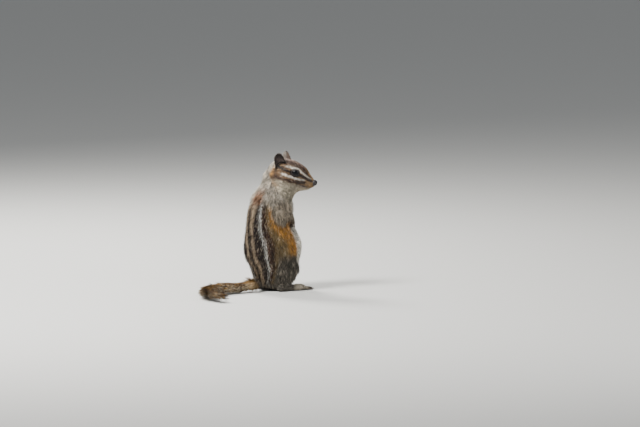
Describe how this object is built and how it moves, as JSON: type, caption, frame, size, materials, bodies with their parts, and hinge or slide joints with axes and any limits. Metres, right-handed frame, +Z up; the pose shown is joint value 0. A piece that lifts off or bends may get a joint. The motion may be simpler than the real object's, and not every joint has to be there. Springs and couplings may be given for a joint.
{
  "type": "sitting chipmunk",
  "caption": "Small striped chipmunk sitting up on its haunches, its head turned over one shoulder, its forepaws held at the chest and its bushy tail laid on the floor.",
  "frame": {"origin": "middle of the flat under the haunches, at floor level", "axes": "+X is the way the hips face, +Y is the animal's left, +Z is up"},
  "size_m": [0.1101, 0.063, 0.0998],
  "materials": {
    "body_coat": "soft dense fur",
    "head_coat": "short dense fur",
    "limb_coat": "short dense fur",
    "tail_coat": "long loose fur",
    "ear": "thin skin with very short hair",
    "eye": "wet gloss",
    "nose": "moist bare skin"
  },
  "bodies": {
    "root": {"torso": "body_coat", "neck": "body_coat", "head": "head_coat", "nose": "nose", "eye_right": "eye", "eye_left": "eye", "ear_right": "ear", "ear_left": "ear", "thigh_right": "limb_coat", "thigh_left": "limb_coat", "shank_right": "limb_coat", "shank_left": "limb_coat", "foot_right": "limb_coat", "foot_left": "limb_coat", "upper_arm_right": "limb_coat", "upper_arm_left": "limb_coat", "forearm_right": "limb_coat", "forearm_left": "limb_coat", "hand_right": "limb_coat", "hand_left": "limb_coat", "tail_root": "tail_coat", "tail_middle": "tail_coat", "tail_end": "tail_coat"}
  },
  "joints": []
}
